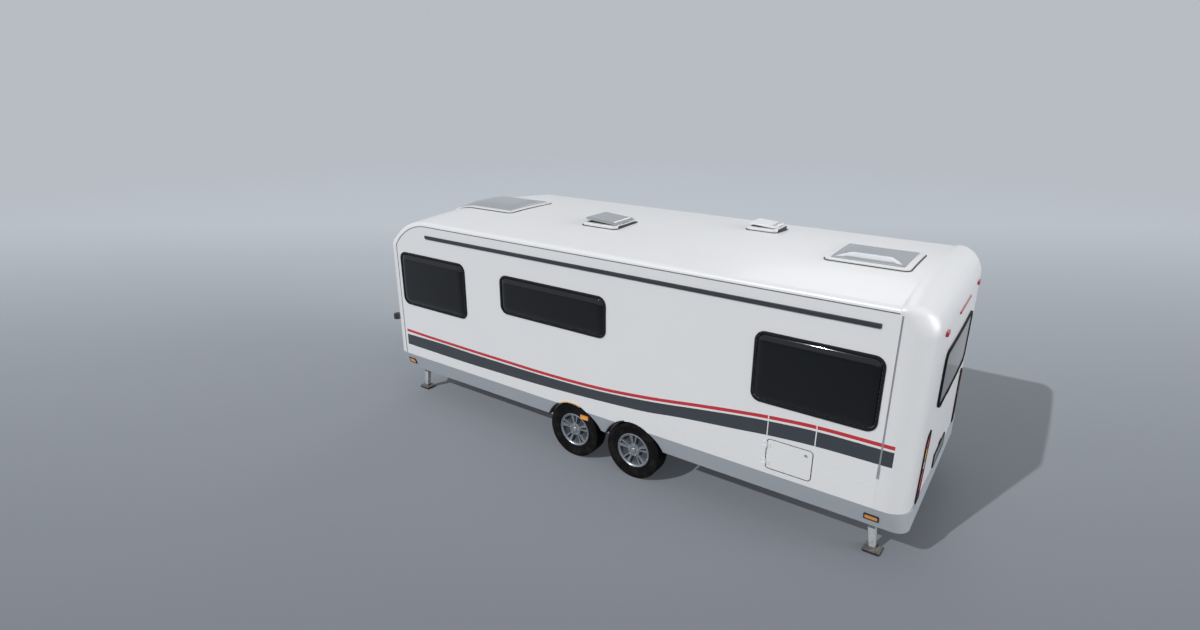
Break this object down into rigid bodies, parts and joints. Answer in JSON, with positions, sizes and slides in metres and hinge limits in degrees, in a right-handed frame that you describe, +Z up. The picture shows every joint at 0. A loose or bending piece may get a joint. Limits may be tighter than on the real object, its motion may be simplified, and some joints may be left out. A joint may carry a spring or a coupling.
{
  "type": "travel caravan",
  "caption": "Twin-axle touring caravan with panelled hollow body, hinged door, lids, roof vents, folding steadies and a castoring jockey wheel.",
  "frame": {"origin": "on the ground under the middle of the overall length and width", "axes": "+X forward to the tow coupling, +Y to the left side, +Z up"},
  "size_m": [8.1338, 2.508, 2.5947],
  "materials": {
    "body_moulding": "gloss",
    "side_panel": "satin gloss",
    "skirt_moulding": "satin",
    "floor_board": "sealed",
    "galvanised_steel": "galvanised",
    "black_casting": "painted black",
    "moulded_liner": "matte",
    "black_trim": "satin",
    "tinted_acrylic": "gloss",
    "smoked_dome": "gloss",
    "white_trim": "satin",
    "red_lens": "gloss",
    "amber_lens": "gloss",
    "tyre_rubber": "matte",
    "solid_tyre": "matte",
    "alloy": "painted silver"
  },
  "bodies": {
    "root": {"awning_rails": "black_trim", "chassis_rails": "galvanised_steel", "coupling_head": "black_casting", "cross_members": "galvanised_steel", "drawbar": "galvanised_steel", "end_window_frames": "black_trim", "end_window_panes": "tinted_acrylic", "floor": "floor_board", "front_axle": "galvanised_steel", "front_skirt": "skirt_moulding", "front_wall": "body_moulding", "gas_locker_bulkhead": "floor_board", "gas_locker_shelf": "floor_board", "grab_handles": "black_trim", "handbrake_lever": "black_casting", "jockey_tube": "galvanised_steel", "left_sill": "skirt_moulding", "left_wall": "side_panel", "number_plate_holder": "black_trim", "rear_axle": "galvanised_steel", "rear_bumper": "skirt_moulding", "rear_lamps": "red_lens", "rear_marker_lights": "red_lens", "rear_wall": "body_moulding", "right_sill": "skirt_moulding", "right_wall": "side_panel", "roof": "body_moulding", "side_marker_lamps": "amber_lens", "side_window_frames": "black_trim", "side_window_panes": "tinted_acrylic", "skylight_domes": "smoked_dome", "skylight_frames": "white_trim", "steady_brackets": "galvanised_steel", "vent_frames": "white_trim", "wheel_boxes": "moulded_liner"},
    "front_left_wheel": {"front_left_tyre": "tyre_rubber", "front_left_rim": "alloy"},
    "front_left_steady_leg": {"front_left_steady": "galvanised_steel"},
    "front_right_wheel": {"front_right_tyre": "tyre_rubber", "front_right_rim": "alloy"},
    "front_right_steady_leg": {"front_right_steady": "galvanised_steel"},
    "rear_left_wheel": {"rear_left_tyre": "tyre_rubber", "rear_left_rim": "alloy"},
    "rear_left_steady_leg": {"rear_left_steady": "galvanised_steel"},
    "rear_right_wheel": {"rear_right_tyre": "tyre_rubber", "rear_right_rim": "alloy"},
    "rear_right_steady_leg": {"rear_right_steady": "galvanised_steel"},
    "door": {"entrance_door": "side_panel", "door_window_frame": "black_trim", "door_window_pane": "tinted_acrylic"},
    "hatch": {"service_hatch": "side_panel"},
    "locker_lid": {"gas_locker_lid": "body_moulding"},
    "middle_vent": {"middle_vent_lid": "smoked_dome"},
    "rear_vent": {"rear_vent_lid": "white_trim"},
    "jockey_leg": {"jockey_stem": "galvanised_steel"},
    "jockey_castor": {"jockey_fork": "galvanised_steel"},
    "jockey_roller": {"jockey_wheel": "solid_tyre"}
  },
  "joints": [
    {"name": "front_left_wheel_spin", "type": "hinge", "parent": "root", "child": "front_left_wheel", "pos_m": [-0.514, 1.1, 0.325], "axis": [0, 1, 0], "continuous": true},
    {"name": "front_right_wheel_spin", "type": "hinge", "parent": "root", "child": "front_right_wheel", "pos_m": [-0.514, -1.1, 0.325], "axis": [0, 1, 0], "continuous": true},
    {"name": "rear_left_wheel_spin", "type": "hinge", "parent": "root", "child": "rear_left_wheel", "pos_m": [-1.304, 1.1, 0.325], "axis": [0, 1, 0], "continuous": true},
    {"name": "rear_right_wheel_spin", "type": "hinge", "parent": "root", "child": "rear_right_wheel", "pos_m": [-1.304, -1.1, 0.325], "axis": [0, 1, 0], "continuous": true},
    {"name": "front_left_steady_fold", "type": "hinge", "parent": "root", "child": "front_left_steady_leg", "pos_m": [2.2, 0.945, 0.53], "axis": [0, 1, 0], "range_deg": [0, 80]},
    {"name": "front_right_steady_fold", "type": "hinge", "parent": "root", "child": "front_right_steady_leg", "pos_m": [2.2, -0.945, 0.53], "axis": [0, 1, 0], "range_deg": [0, 80]},
    {"name": "rear_left_steady_fold", "type": "hinge", "parent": "root", "child": "rear_left_steady_leg", "pos_m": [-3.71, 0.945, 0.53], "axis": [0, -1, 0], "range_deg": [0, 80]},
    {"name": "rear_right_steady_fold", "type": "hinge", "parent": "root", "child": "rear_right_steady_leg", "pos_m": [-3.71, -0.945, 0.53], "axis": [0, -1, 0], "range_deg": [0, 80]},
    {"name": "entrance_door_swing", "type": "hinge", "parent": "root", "child": "door", "pos_m": [0.6375, -1.239, 1.4], "axis": [0, 0, 1], "range_deg": [0, 165]},
    {"name": "service_hatch_swing", "type": "hinge", "parent": "root", "child": "hatch", "pos_m": [-2.7825, 1.239, 0.83], "axis": [0, 0, -1], "range_deg": [0, 150]},
    {"name": "gas_locker_lid_lift", "type": "hinge", "parent": "root", "child": "locker_lid", "pos_m": [2.491, 0, 1.1775], "axis": [0, -1, 0], "range_deg": [0, 90]},
    {"name": "middle_vent_lift", "type": "hinge", "parent": "root", "child": "middle_vent", "pos_m": [-0.528, 0.205, 2.549], "axis": [0, -1, 0], "range_deg": [-4, 45]},
    {"name": "rear_vent_lift", "type": "hinge", "parent": "root", "child": "rear_vent", "pos_m": [-2.058, -0.6, 2.549], "axis": [0, -1, 0], "range_deg": [-4, 45]},
    {"name": "jockey_lift", "type": "slide", "parent": "root", "child": "jockey_leg", "axis": [0, 0, 1], "range_m": [-0.1, 0.14]},
    {"name": "jockey_swivel", "type": "hinge", "parent": "jockey_leg", "child": "jockey_castor", "pos_m": [3.05, 0, 0.227], "axis": [0, 0, 1], "continuous": true},
    {"name": "jockey_wheel_spin", "type": "hinge", "parent": "jockey_castor", "child": "jockey_roller", "pos_m": [3.005, 0, 0.1], "axis": [0, 1, 0], "continuous": true}
  ]
}
